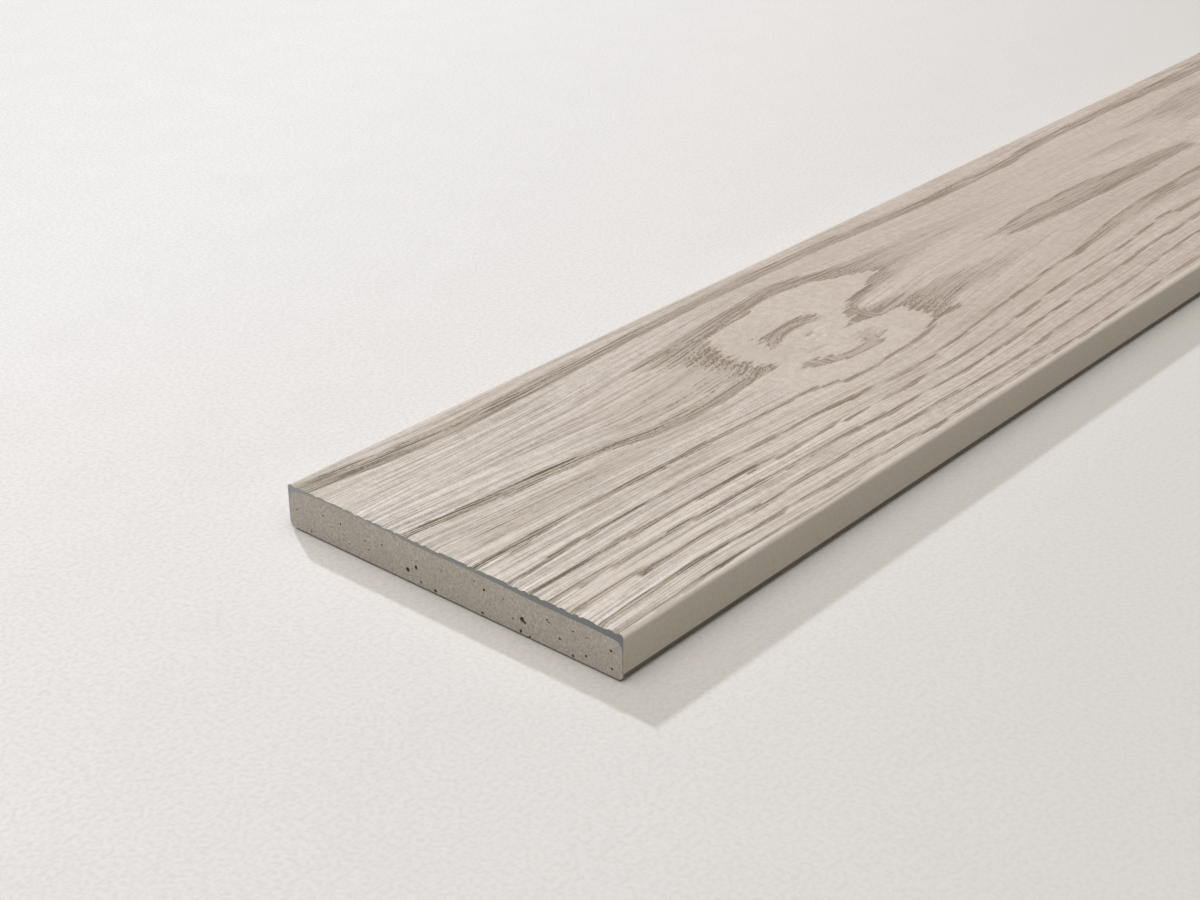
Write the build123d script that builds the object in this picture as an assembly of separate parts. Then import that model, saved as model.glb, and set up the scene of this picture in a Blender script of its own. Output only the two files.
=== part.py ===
from build123d import *
import os

# A moulded reveal trim board: a resin and mineral core under a tough grey skin.
# The skin covers the grained face and both long edges, and the back is bare core.
# X runs along the board, Y across it and Z up from the back, which lies on the floor.
# The origin is the middle of the back. All sizes are in millimetres.

# The board as sold
board_length = 3200.0
board_width = 146.0
board_thickness = 16.0
face_arris_radius = 1.3  # soft edge between the face and a long edge
back_arris_radius = 2.0  # eased edge between a long edge and the back

# The skin, which drains off the mould's walls and gathers in its corners
skin_depths = (2.4, 1.7, 1.8, 1.0, 1.3)  # under the face, evenly spaced from the -Y corner to the +Y one
edge_skin_at_face = 0.6  # on a long edge, just below the corner
edge_skin_at_hem = 0.3  # on a long edge, where the skin ends
hem_above_arris = 0.5  # from the back arris up to the skin's end
corner_fill_radius = 4.0  # rounding of the core where the skin fills the mould's corner

half_width = board_width / 2
hem_height = back_arris_radius + hem_above_arris


def board_outline():
    """The whole section, with its back on the Y axis."""
    block = Rectangle(board_width, board_thickness, align=(Align.CENTER, Align.MIN))
    by_height = block.vertices().group_by(Axis.Y)
    eased_back = fillet(by_height[0], back_arris_radius)
    return fillet(eased_back.vertices().group_by(Axis.Y)[-1], face_arris_radius)


def bond_line():
    """The wavy line across the section where the core meets the skin under the face."""
    span = board_width - 2 * edge_skin_at_face
    step = span / (len(skin_depths) - 1)
    points = [
        (-span / 2 + step * place, board_thickness - depth)
        for place, depth in enumerate(skin_depths)
    ]
    return Spline(*points, tangents=((1, 0), (1, 0)))


def core_outline():
    """The core's section: full width below the skin's hem, and inside the skin above it."""
    top = bond_line()
    foot = Polyline(
        top @ 0,
        (-half_width + edge_skin_at_hem, hem_height),
        (-half_width, hem_height),
        (-half_width, 0),
        (half_width, 0),
        (half_width, hem_height),
        (half_width - edge_skin_at_hem, hem_height),
        top @ 1,
    )
    blank = make_face([top, foot])
    corners = [blank.vertices().sort_by_distance(top @ end)[0] for end in (0, 1)]
    return fillet(corners, corner_fill_radius) & board_outline()


def full_length(section):
    """A section run along the whole board, between its two sawn ends."""
    near_end = Plane.YZ.offset(-board_length / 2)
    return extrude(near_end * section, board_length)


core_section = core_outline()
skin_section = board_outline() - core_section

os.makedirs("parts", exist_ok=True)
export_step(full_length(core_section), "parts/resin_core.step")
export_step(full_length(skin_section), "parts/face_skin.step")
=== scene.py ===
import math
import bmesh
import bpy
import numpy as np
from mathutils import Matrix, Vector


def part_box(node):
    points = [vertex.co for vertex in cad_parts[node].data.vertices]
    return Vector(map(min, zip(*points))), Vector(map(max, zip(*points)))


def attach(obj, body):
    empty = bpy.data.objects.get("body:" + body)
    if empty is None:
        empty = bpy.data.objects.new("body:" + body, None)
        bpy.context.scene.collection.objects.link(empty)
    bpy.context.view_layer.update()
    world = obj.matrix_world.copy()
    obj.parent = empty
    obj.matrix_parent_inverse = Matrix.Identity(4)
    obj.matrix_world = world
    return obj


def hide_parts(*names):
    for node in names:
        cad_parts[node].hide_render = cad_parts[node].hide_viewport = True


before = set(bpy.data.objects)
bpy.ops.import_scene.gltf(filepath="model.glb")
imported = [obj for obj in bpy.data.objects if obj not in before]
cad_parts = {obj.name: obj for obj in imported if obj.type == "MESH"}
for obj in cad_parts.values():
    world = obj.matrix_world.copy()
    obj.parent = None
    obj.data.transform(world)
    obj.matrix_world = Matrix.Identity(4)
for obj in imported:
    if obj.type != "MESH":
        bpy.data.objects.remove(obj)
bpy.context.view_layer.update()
mm = 0.001

# The board's own sizes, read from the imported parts
skinLow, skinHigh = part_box("face_skin")
halfLength = skinHigh.x
halfWidth = skinHigh.y
faceHeight = skinHigh.z
hemHeight = skinLow.z
boardLength = 2 * halfLength


def hexColour(code):  # sRGB hex to the linear colour that the nodes take
    channels = [int(code[i:i + 2], 16) / 255 for i in (1, 3, 5)]
    linear = [c / 12.92 if c <= 0.04045 else ((c + 0.055) / 1.055) ** 2.4 for c in channels]
    return (*linear, 1.0)


# A node's mode follows its kind, as in Math ADD. A Mix node's colours are sockets 6 and 7, and output 2.
# A ramp's stops are (position, colour)
def addNode(tree, kind, settings=None, links=None):
    kind, *mode = kind.split()
    node = tree.nodes.new("ShaderNode" + kind)
    if mode:
        setattr(node, "data_type" if kind == "Mix" else "operation", mode[0])
    for name, value in (settings or {}).items():
        if name == "stops":
            for stop, (position, code) in zip(node.color_ramp.elements, value):
                stop.position = position
                stop.color = hexColour(code)
        elif isinstance(name, int) or name in node.inputs:
            node.inputs[name].default_value = value
        else:
            setattr(node, name, value)
    for name, source in (links or {}).items():
        tree.links.new(source, node.inputs[name])
    return node


def newMaterial(name):
    material = bpy.data.materials.new(name)
    material.use_nodes = True
    material.node_tree.nodes.clear()
    return material, material.node_tree


def finishMaterial(tree, settings, links):
    shader = addNode(tree, "BsdfPrincipled", settings, links)
    addNode(tree, "OutputMaterial", links={"Surface": shader.outputs[0]})


def selectEdges(piece, wanted):  # edit mode, with only the wanted edges selected
    bpy.ops.object.mode_set(mode="EDIT")
    bpy.ops.mesh.select_mode(type="EDGE")
    bpy.ops.mesh.select_all(action="DESELECT")
    editMesh = bmesh.from_edit_mesh(piece.data)
    for edge in editMesh.edges:
        if wanted(edge):
            edge.select_set(True)
    bmesh.update_edit_mesh(piece.data)


def vertexPlaces(mesh):
    co = np.zeros((len(mesh.vertices), 3))
    mesh.vertices.foreach_get("co", co.ravel())
    return co


def smoothStep(low, high, x):
    t = np.clip((x - low) / (high - low), 0, 1)
    return t * t * (3 - 2 * t)


def smoothLine(points, perSpan=6):  # a curve through given points
    p = np.array(points, float)
    p = np.vstack([2 * p[0] - p[1], p, 2 * p[-1] - p[-2]])
    t = np.linspace(0, 1, perSpan, endpoint=False)[:, None]
    spans = []
    for a, b, c, d in zip(p, p[1:], p[2:], p[3:]):
        spans.append(b + 0.5 * t * (c - a + t * (2 * a - 5 * b + 4 * c - d + t * (3 * (b - c) + d - a))))
    return np.vstack(spans + [p[-2:-1]])


def softNoise(x, y, seed):  # smooth seeded noise from 0 to 1, one lump per unit
    table = np.random.default_rng(seed).random((256, 256))
    i = np.floor(x).astype(int)
    j = np.floor(y).astype(int)
    fx = smoothStep(0, 1, x - i)
    fy = smoothStep(0, 1, y - j)
    low = table[i % 256, j % 256] * (1 - fx) + table[(i + 1) % 256, j % 256] * fx
    high = table[i % 256, (j + 1) % 256] * (1 - fx) + table[(i + 1) % 256, (j + 1) % 256] * fx
    return low * (1 - fy) + high * fy


def layBakeMap(piece, sheet):  # sheet gives each face corner its place on the piece's own map
    mesh = piece.data
    layer = mesh.uv_layers.new(name="OFBake")
    corners = np.zeros(len(mesh.loops), int)
    sides, kinds = np.zeros((2, len(mesh.polygons)), int)
    normals, centres = np.zeros((2, len(mesh.polygons), 3))
    mesh.loops.foreach_get("vertex_index", corners)
    mesh.polygons.foreach_get("loop_total", sides)
    mesh.polygons.foreach_get("material_index", kinds)
    mesh.polygons.foreach_get("normal", normals.ravel())
    mesh.polygons.foreach_get("center", centres.ravel())
    owner = np.repeat(np.arange(len(sides)), sides)
    uv = sheet(vertexPlaces(mesh)[corners], normals[owner], centres[owner], kinds[owner])
    layer.data.foreach_set("uv", uv.astype(np.float32).ravel())


def strip(share, low, high):  # a share from 0 to 1 laid between two borders of the map
    return low + np.clip(share, 0, 1) * (high - low)


# The bond line between skin and core, read off the sawn end of the photo
bondLine = {
    "edgeAtHem": 0.3,  # skin on a long edge where it ends, mm
    "columns": 44,  # spans across the back of the skin
    "cornerShare": (0.27, 22),  # share of those spans in each corner, and the length of line they cover, mm
    "ripple": 0.12,  # small unevenness of the line, mm
    "depths": (  # mm from the left edge, mm under the face
        (0.5, 6.5), (0.6, 4.4), (1.3, 3.1), (4, 2.1), (9, 1.3), (14, 1.05), (30, 0.95), (45, 1.15),
        (55, 1.6), (66, 1.95), (78, 1.7), (92, 1.8), (106, 2.25), (120, 2.5), (132, 2.45), (139, 2.6),
        (143, 2.9), (144.9, 3.7), (145.45, 5), (145.6, 6.5),
    ),
}


def bondPath():  # points (y, z) up from the left hem, across under the face and down to the right hem
    hem = bondLine["edgeAtHem"]
    hemDepth = (faceHeight - hemHeight) / mm
    line = [(hem, hemDepth), *bondLine["depths"], (2 * halfWidth / mm - hem, hemDepth)]
    curve = smoothLine(line, 12)
    along = np.concatenate([[0], np.cumsum(np.hypot(*np.diff(curve, axis=0).T))])
    share, reach = bondLine["cornerShare"]
    steps = np.interp(np.linspace(0, 1, bondLine["columns"] + 1), (0, share, 1 - share, 1),
                      (0, reach, along[-1] - reach, along[-1]))
    across = np.interp(steps, along, curve[:, 0])
    depth = np.interp(steps, along, curve[:, 1])
    ripple = bondLine["ripple"] * (softNoise(across / 4, across * 0, 5) - 0.5) * 2
    depth += np.where(depth < 4, ripple, 0)
    return np.column_stack([halfWidth - across * mm, faceHeight - depth * mm])


# The figure of the face. u runs from the near end and v from the left edge, in mm
figure = {
    "strength": {"rim": 0.8, "bands": 0.84, "marks": 0.8, "arcs": 0.85},  # darkest that each kind gets
    "squash": 5.0,  # pores fade this much further along the grain than across it
    "ragged": 9.0,  # how far along the grain the streaks of a band end apart from each other, mm
    "broken": (128, 430),  # stretch of u where the ring edges are short dashes with gaps
    "ringsNarrow": ((110, 150), (1.0, 0.85)),  # the rings' share of their width along u
    "ringsFilled": ((110, 160), (0.72, 0.95)),  # how dark a ring is between its two lines, along u
    # ring edges: the side that the pores fade to (1 is away from the left edge), darkness,
    # and points (u, v, width of the pores)
    "rings": (
        (1, 1.0, ((-6, 84.2, 3.2), (30, 84.7, 3.5), (60, 85.8, 3), (108, 87.5, 3), (120, 88, 2.5),
                  (142, 89.7, 1.8), (167, 90.3, 2), (178, 92, 2), (188, 94.8, 2), (200, 96.3, 2),
                  (209, 97.8, 1.6), (216, 96.4, 1.8), (225, 95.9, 1.8), (240, 96.3, 2), (250, 93.5, 2.5),
                  (264, 90, 3))),
        (1, 0.95, ((-6, 100.5, 1.4), (18, 99, 2), (43, 97.6, 2.4), (75, 99.2, 1.8), (92, 100, 2),
                   (128, 102, 2.4), (140, 104, 2.4), (158, 104.2, 2), (170, 105.3, 2.2), (192, 107, 2),
                   (208, 108.5, 2), (228, 108.8, 1.6), (252, 107.5, 1.6), (258, 106, 2.2),
                   (275, 104, 2.4), (292, 103, 2.2), (325, 100.3, 2), (350, 98.5, 3), (370, 96.5, 4),
                   (400, 92.3, 3), (430, 89.3, 3), (500, 88.5, 3))),
        (1, 0.95, ((-6, 108.8, 2), (28, 109, 2.2), (45, 107.8, 2.6), (62, 109, 2), (85, 109.7, 2),
                   (107, 111, 2), (128, 112.5, 2), (150, 113.5, 2), (165, 114.3, 1.8), (185, 115.3, 2),
                   (197, 116.3, 2.4), (220, 116.5, 2), (242, 117, 1.8), (260, 116.2, 1.8),
                   (288, 113.8, 2.4), (310, 112.5, 2), (322, 110.5, 2.5), (345, 110, 2), (380, 110, 1.6),
                   (400, 108.5, 2), (430, 106, 3), (460, 108, 3), (520, 108, 3))),
        (1, 0.95, ((-6, 117.3, 2.2), (22, 115.8, 2.8), (40, 116.8, 2), (67, 117.3, 2), (100, 118.8, 2.2),
                   (130, 120.5, 2), (155, 121, 2.8), (175, 122.8, 2.6), (200, 123.8, 2.2), (225, 125, 2),
                   (245, 124.3, 1.8), (275, 123.2, 2), (310, 121.5, 2), (342, 120.3, 2.2), (392, 118, 2),
                   (440, 117, 2.5), (520, 117, 2.5))),
        (1, 0.9, ((-6, 125.5, 2), (25, 125.4, 2.4), (50, 127, 1.8), (75, 126.9, 2), (95, 129, 1.8),
                  (117, 129, 2), (133, 129.2, 1.8), (158, 130.6, 2.2), (180, 131.8, 2.4),
                  (200, 132.2, 2.2), (235, 133.3, 2), (262, 133.4, 1.8), (290, 132.5, 2),
                  (322, 131.5, 2.4), (345, 130, 2), (367, 129.4, 1.6), (417, 127, 2.2), (520, 126, 2.2))),
        (1, 0.9, ((-6, 136.6, 2), (20, 135.2, 2), (48, 134.3, 2.6), (70, 135.7, 2), (90, 137, 1.8),
                  (107, 137.2, 2), (140, 138.8, 2), (160, 139.8, 2), (185, 141.2, 2.2), (210, 141, 2),
                  (235, 141.3, 2), (267, 142.3, 2), (300, 142.3, 2), (350, 141, 2), (388, 140.7, 2),
                  (520, 139, 2))),
        (1, 0.85, ((-6, 143.6, 2), (20, 143.2, 1.8), (50, 142.3, 2.2), (70, 143.2, 1.8), (85, 143.5, 1.6),
                   (105, 144.2, 1.4))),
    ),
    # wider bands of pores outside the heart: softness of the upper and the lower border,
    # and points (u, upper v, lower v, darkness)
    "bands": (
        (1.2, 1.2, ((-6, 3.5, 9.6, 0.75), (17, 4.9, 12.2, 0.75), (30, 6.6, 14, 0.75),
                    (42, 8.2, 15.2, 0.75), (67, 9.2, 16.4, 0.68), (83, 8.8, 15.9, 0.68),
                    (100, 8, 15.2, 0.68), (117, 7.6, 14.8, 0.68), (133, 8, 14, 0.75),
                    (150, 7.8, 13, 0.75), (164, 7.3, 12.3, 0.8), (180, 6.8, 12, 0.8),
                    (200, 6.5, 11.5, 0.75), (220, 6, 11.5, 0.65), (250, 6.2, 12, 0.65),
                    (280, 7, 12.3, 0.6), (300, 7.6, 13, 0.65), (320, 9.2, 14, 0.75), (340, 11, 15.5, 0.9),
                    (383, 13, 18, 0.9), (412, 12.5, 17.3, 0.9), (454, 13, 17.8, 0.9),
                    (463, 10.5, 15.5, 0.9), (485, 9.5, 14.5, 0.9), (560, 9.5, 14, 0.85),
                    (650, 8.5, 17, 0.85), (700, 9, 16, 0.8), (760, 9, 15, 0))),
        (1.5, 1.5, ((0, 89, 95, 0.2), (60, 90, 96, 0.28), (110, 91, 97, 0.24), (150, 93, 98, 0))),
        (1.5, 1.0, ((-6, 52.6, 55.3, 0.85), (17, 55.6, 58.7, 0.8), (33, 56.8, 61.7, 0.75),
                    (50, 57.6, 63.2, 0.75), (63, 59, 64.2, 0.75), (77, 61, 66.8, 0.7),
                    (93, 64, 69.5, 0.7), (108, 66, 72.4, 0.7), (123, 66.7, 73.2, 0.7),
                    (138, 67.5, 73.2, 0.7), (152, 67.5, 73, 0.7), (164, 64, 71.7, 0.75),
                    (184, 60, 70, 0.9))),
        (6.0, 3.0, ((80, 56, 62, 0), (105, 48, 66, 0.2), (140, 46, 66, 0.26), (160, 40, 66, 0.35),
                    (172, 36, 66, 0.6), (180, 36, 66, 0.7))),
        (3.0, 2.0, ((146, 31, 37, 0), (156, 30, 40, 0.45), (163, 29, 44, 0.7), (168, 28, 60, 0.75),
                    (174, 28, 68, 0.85), (185, 28, 70, 0.95))),
        (3.0, 1.0, ((138, 31, 33, 0), (150, 30, 36, 0.5), (165, 28, 33, 0.8), (180, 26.5, 34, 0.9),
                    (200, 24.5, 33, 0.9), (220, 22.8, 31, 0.9), (240, 21.3, 29, 0.9), (252, 22, 30, 0.85),
                    (262, 25, 33, 0.85), (275, 28.5, 39, 0.85), (288, 31, 44, 0.75), (300, 32, 47, 0.5),
                    (325, 33, 46, 0.35), (360, 35, 45, 0.28), (410, 37, 44, 0.12), (440, 38, 44, 0))),
        (1.0, 2.5, ((244, 57, 62, 0.8), (252, 54, 59, 0.85), (262, 51, 56, 0.8), (275, 47, 53, 0.8),
                    (288, 42, 52, 0.75), (298, 42, 50, 0.4), (320, 42, 49, 0.2), (340, 43, 47, 0))),
        (1.5, 1.5, ((229, 66, 68.5, 0.6), (236, 64.5, 70, 0.95), (243, 60, 72, 0.9), (250, 62, 73, 0.8),
                    (262, 65, 74, 0.75), (275, 67, 72, 0.5), (285, 67, 70, 0.2), (295, 67, 69, 0))),
        (2.0, 2.0, ((257, 73, 78, 0.5), (262, 72, 91, 0.9), (268, 70, 91, 0.85), (276, 69.5, 90, 0.75),
                    (285, 70, 85, 0.6), (300, 70.5, 84, 0.5), (320, 72, 83.5, 0.4), (338, 74, 82, 0.25),
                    (365, 76, 80, 0))),
    ),
    # marks that lie in the heart or far from it, written as the bands are
    "marks": (
        (2.0, 3.0, ((5, 69, 78, 0), (20, 69, 78, 0.3), (60, 70, 78, 0.4), (95, 71, 79, 0.36),
                    (130, 74, 80, 0.2), (150, 76, 80, 0))),
        (0.8, 2.0, ((193, 54, 60, 0), (196, 51.5, 59.5, 0.7), (200, 50, 58, 0.85), (206, 49, 55.5, 0.9),
                    (215, 48.3, 54.3, 0.9), (223, 48.5, 54, 0.85), (229, 50.3, 56, 0.8),
                    (233, 53, 57, 0.4), (235, 54, 56, 0))),
        (5.0, 5.0, ((176, 40, 64, 0.16), (192, 38, 72, 0.2), (208, 37, 66, 0.14), (226, 36, 60, 0))),
        (0.6, 0.8, ((198, 45.5, 46.5, 0), (203, 45, 46.2, 0.45), (211, 44, 45.2, 0.35),
                    (216, 43.5, 44.5, 0))),
        (1.0, 1.0, ((187, 78, 79, 0), (190, 76.5, 80.5, 0.7), (195, 75.5, 83, 0.8),
                    (200, 76.5, 84.5, 0.75), (204, 80, 85, 0.6), (207, 82.5, 85, 0))),
        (0.8, 0.8, ((198, 81, 83, 0), (203, 82, 85.5, 0.75), (212, 83, 86.5, 0.8), (222, 83, 87, 0.75),
                    (228, 81.5, 86.5, 0.65), (232, 80, 85, 0.5), (236, 79, 82, 0))),
        (1.0, 1.0, ((222, 77, 79, 0), (226, 75, 82, 0.5), (231, 75, 84.5, 0.55), (235, 76.5, 82, 0.4),
                    (238, 78, 80, 0))),
        (0.6, 0.8, ((198, 71, 72.5, 0), (203, 70, 72, 0.45), (212, 72, 73.2, 0.5), (218, 72.5, 73.5, 0))),
        (0.6, 0.6, ((212, 61.5, 62.5, 0), (214, 60.5, 62.5, 0.7), (218, 60, 61.5, 0.5),
                    (219, 60, 61, 0))),
        (0.6, 0.6, ((213, 65.5, 66, 0), (215, 65, 66.5, 0.75), (217, 64, 65.5, 0.6),
                    (219, 63.5, 64.5, 0))),
        (0.6, 0.6, ((343, 60.3, 61.3, 0), (350, 60.2, 61.3, 0.6), (362, 59.6, 61, 0.75),
                    (380, 57.3, 59, 0.8), (400, 56.2, 58, 0.85), (425, 56.5, 58.5, 0.85),
                    (450, 57.2, 59.5, 0.8), (463, 59, 61, 0.6), (475, 60, 62, 0))),
        (1.5, 1.0, ((360, 62, 66, 0), (364, 61, 66.7, 0.5), (385, 59.5, 68.5, 0.5),
                    (408, 58.5, 70.5, 0.5), (430, 58.5, 71.3, 0.55), (452, 59, 72.5, 0.75),
                    (481, 61.5, 73, 0.85), (508, 63.5, 71.8, 0.8), (525, 65.5, 72.5, 0.85),
                    (532, 68, 72.8, 0.95), (536, 70, 72, 0))),
        (1.2, 0.8, ((362, 65, 66.5, 0), (366, 64.5, 66.8, 0.95), (385, 65.5, 68.5, 1.0),
                    (408, 66.3, 70.6, 1.0), (430, 66.5, 71.5, 1.0), (452, 66.5, 72.9, 1.0),
                    (470, 68, 73.2, 0.9), (490, 69, 73, 0.6), (505, 70, 72, 0))),
        (1.0, 4.0, ((365, 97, 99, 0), (380, 94.5, 98, 0.6), (400, 92.5, 97, 0.65), (430, 89.5, 96, 0.65),
                    (470, 89, 96, 0.65), (510, 88.5, 96, 0.65), (570, 91, 96, 0.6), (620, 94, 98, 0))),
        (1.5, 4.0, ((462, 42, 44, 0), (490, 41, 45, 0.45), (520, 42, 48, 0.4), (560, 47, 50, 0))),
        (2.0, 4.0, ((515, 31, 33, 0), (540, 31, 34, 0.45), (570, 31, 40, 0.5), (590, 28, 44, 0.55),
                    (640, 28, 44, 0.5), (690, 30, 40, 0))),
        (5.0, 5.0, ((335, 74, 84, 0), (360, 74, 86, 0.22), (460, 75, 86, 0.24), (560, 76, 86, 0.2),
                    (640, 76, 84, 0))),
        (2.0, 3.0, ((555, 44, 50, 0), (575, 43, 52, 0.45), (610, 44, 54, 0.4), (660, 46, 52, 0))),
    ),
    # fine dark arcs round the knot, written as the bands are
    "arcs": (
        (0.35, 0.35, ((188, 78.6, 79.6, 0), (192, 80.2, 81.2, 0.95), (198, 83, 84, 1.0),
                      (205, 85.3, 86.2, 1.0), (214, 86.4, 87.3, 1.0), (224, 86.8, 87.7, 1.0),
                      (230, 85, 86, 0.95), (234, 81.5, 82.8, 0.8), (236, 79, 80.5, 0))),
        (0.35, 0.35, ((200, 77, 78, 0), (203, 79.5, 80.6, 0.9), (207, 82.3, 83.3, 0.95),
                      (214, 83.4, 84.3, 0.95), (222, 82.8, 83.7, 0.9), (226, 79.5, 81, 0.8),
                      (228, 76, 78, 0))),
        (0.35, 0.35, ((194, 56, 57.5, 0), (198, 51.5, 52.6, 0.95), (206, 49.2, 50.2, 1.0),
                      (215, 48.4, 49.3, 1.0), (223, 48.7, 49.6, 1.0), (230, 51, 52, 0.9),
                      (234, 54, 55.5, 0))),
        (0.35, 0.35, ((198, 58.5, 59.5, 0), (202, 55.5, 56.5, 0.9), (209, 53.2, 54.2, 0.95),
                      (216, 52.6, 53.6, 0.95), (223, 53, 54, 0.9), (228, 55.2, 56.2, 0))),
    ),
    # small dark pinholes and slits: u, v, length and width
    "specks": ((12.5, 67.3, 4.0, 1.5), (17.8, 38.9, 1.6, 1.1), (421, 44, 4.5, 1.2), (54, 59.8, 2.2, 0.9)),
    # small flecks of thicker wash in the middle of the knot, written as the specks are
    "flecks": ((216, 63.5, 3.2, 1.2), (219.5, 61, 2.8, 1.2), (221, 64.5, 3, 1), (213.5, 67, 3, 1),
               (218, 67, 2.6, 1), (211, 63.5, 2.8, 0.9), (223, 61.5, 2.4, 0.9)),
    # the pale heart of the figure: points (u, v, darkness outside it, width of that fade)
    "heart": (
        (-6, 57, 0.3, 2), (20, 60.2, 0.3, 2), (47, 63.4, 0.3, 2), (75, 65.2, 0.3, 2), (97, 68.7, 0.3, 2),
        (113, 73.4, 0.4, 2), (142, 73.6, 0.4, 2), (160, 72, 0.5, 2), (182, 70, 0.95, 2.5),
        (180.5, 66, 0.95, 3), (178.5, 62, 0.95, 3), (177.5, 56, 0.95, 3), (177.5, 50, 0.95, 3),
        (178.5, 45, 0.95, 3), (180, 41, 0.95, 3), (181, 38.5, 0.95, 3), (183.5, 36, 0.95, 3),
        (190, 33.3, 0.95, 2.5), (200, 32.8, 0.95, 2), (213, 32, 0.9, 2), (220, 30.5, 0.9, 2),
        (228, 28.6, 0.9, 2), (238, 28, 0.9, 2), (247, 29, 0.85, 2), (258, 31, 0.85, 2),
        (266, 34.5, 0.9, 2), (275, 37.5, 0.9, 2), (283, 41, 0.9, 2), (287.5, 43.5, 0.9, 2),
        (284, 46.5, 0.9, 2), (276, 49, 0.9, 2), (266, 51.3, 0.9, 2), (258, 53, 0.9, 2),
        (251, 55.5, 0.9, 2), (246, 58.5, 0.9, 2.5), (243, 62, 0.9, 2.5), (238, 65.5, 0.9, 2),
        (232, 67.8, 0.9, 1.5), (238, 70.8, 0.9, 1.5), (246, 72.2, 0.9, 2), (256, 73, 0.9, 2),
        (263, 74, 0.9, 2.5), (263, 77, 0.95, 3), (261, 80.5, 0.95, 3), (262, 84, 0.95, 3),
        (263, 88, 0.95, 2.5), (259, 90.5, 0.9, 2), (250, 93.3, 0.6, 1.5), (240, 96.3, 0.5, 1.5),
        (225, 96.2, 0.5, 1.2), (216, 96.6, 0.5, 1.2), (209, 98.2, 0.5, 1.2), (200, 96.5, 0.5, 1.2),
        (188, 95, 0.5, 1.2), (178, 92.2, 0.5, 1.2), (167, 90.5, 0.4, 1.2), (142, 89.9, 0.4, 1.2),
        (108, 87.6, 0.4, 1.2), (58, 85.9, 0.4, 1.2), (-6, 84.3, 0.4, 1.2),
    ),
    "knot": (215, 66, 14, 30),  # middle (u, v), and the radii between which its round grain straightens out
    # lines that the grain follows, as points (u, v)
    "guides": (
        ((0, 0), (3200, 0)),
        ((0, 7), (30, 10.2), (60, 12.6), (100, 11.6), (150, 10.2), (200, 9), (250, 9), (300, 10.3),
         (340, 13), (383, 15.5), (440, 15.5), (485, 12), (700, 12)),
        ((0, 34), (100, 33), (180, 26), (240, 20), (300, 28), (400, 34), (700, 32)),
        ((0, 54), (33, 58.5), (63, 61.5), (93, 65), (110, 69), (140, 70.3), (165, 68), (180, 62),
         (200, 57), (230, 52), (300, 46), (400, 50), (520, 56), (700, 52)),
        ((0, 84.5), (110, 87.5), (190, 95), (240, 96), (300, 86), (380, 78), (480, 80), (700, 84)),
        ((0, 100.3), (92, 100), (192, 107), (228, 108.8), (292, 103), (380, 95.5), (440, 89), (560, 92),
         (800, 98)),
        ((0, 117.3), (67, 117.3), (155, 121), (225, 125), (342, 120.3), (440, 117), (700, 116)),
        ((0, 136.5), (48, 134.5), (150, 139.3), (267, 142.3), (388, 140.7), (700, 138)),
        ((0, 150), (3200, 150)),
    ),
    # the made-up stretch beyond the photo's edge: rings that rise to cathedral arches and sink again
    "unseenFrom": (540, 740),
    "ringsToEdge": 6.5,  # rings between the middle of the figure and a long edge
    "archLength": 1350,  # mm from one arch to the next
    "archRings": 2.3,  # rings that an arch climbs through
}


def dashedRing(u, v, side, dark, points, seed):  # a ring edge as overlapping dashes, each sharp on one side
    line = np.array(points, float)
    draw = np.random.default_rng(seed)
    band, heads = np.zeros((2, *u.shape))
    start = line[0, 0] - 8
    while start < line[-1, 0]:
        broken = figure["broken"][0] < start < figure["broken"][1]
        length = draw.uniform(12, 34) if broken else draw.uniform(16, 52)
        shift = draw.uniform(-0.5, 0.5)
        strength = dark * draw.uniform(0.7, 1.0)
        topLine = draw.uniform(0.45, 1.0)
        turned = draw.random() < 0.4
        near = (u > start) & (u < start + length)
        s = (u[near] - start) / length
        s = 1 - s if turned else s  # a dash is a wedge, thick and blunt where s is low
        taper = smoothStep(0, 0.06, s) * (1 - smoothStep(0.6, 1, s))
        middle = np.interp(start + length / 2, line[:, 0], line[:, 1])
        ownLine = 0.5 * (middle + np.interp(u[near], line[:, 0], line[:, 1]))
        past = (v[near] - ownLine - shift) * side
        width = np.interp(u[near], line[:, 0], line[:, 2]) * (1.25 - 0.8 * s)
        width *= np.interp(u[near], *figure["ringsNarrow"])
        # a dark line, a tinted strip and a fainter line at its foot
        head = topLine * (1 - smoothStep(0.3, 0.7, past))
        fill = 1 - smoothStep(0.75, 1.05, past / width)
        fill *= np.interp(u[near], *figure["ringsFilled"])
        foot = 0.7 * (1 - smoothStep(0.15, 0.45, abs(past - 0.85 * width)))
        strength *= taper * smoothStep(-0.2, 0.05, past)
        heads[near] = np.maximum(heads[near], strength * head)
        band[near] = np.maximum(band[near], strength * np.maximum(np.maximum(head, fill), foot))
        start += length * (0.8 if broken else 0.62)
    return band, heads


def softBand(u, v, softTop, softBottom, points):
    line = np.array(points, float)
    top = np.interp(u, line[:, 0], line[:, 1])
    bottom = np.interp(u, line[:, 0], line[:, 2])
    dark = np.interp(u, line[:, 0], line[:, 3], left=0, right=0)
    inside = smoothStep(-softTop, 0.3 * softTop, v - top)
    return dark * inside * smoothStep(-softBottom, 0.3 * softBottom, bottom - v)


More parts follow.
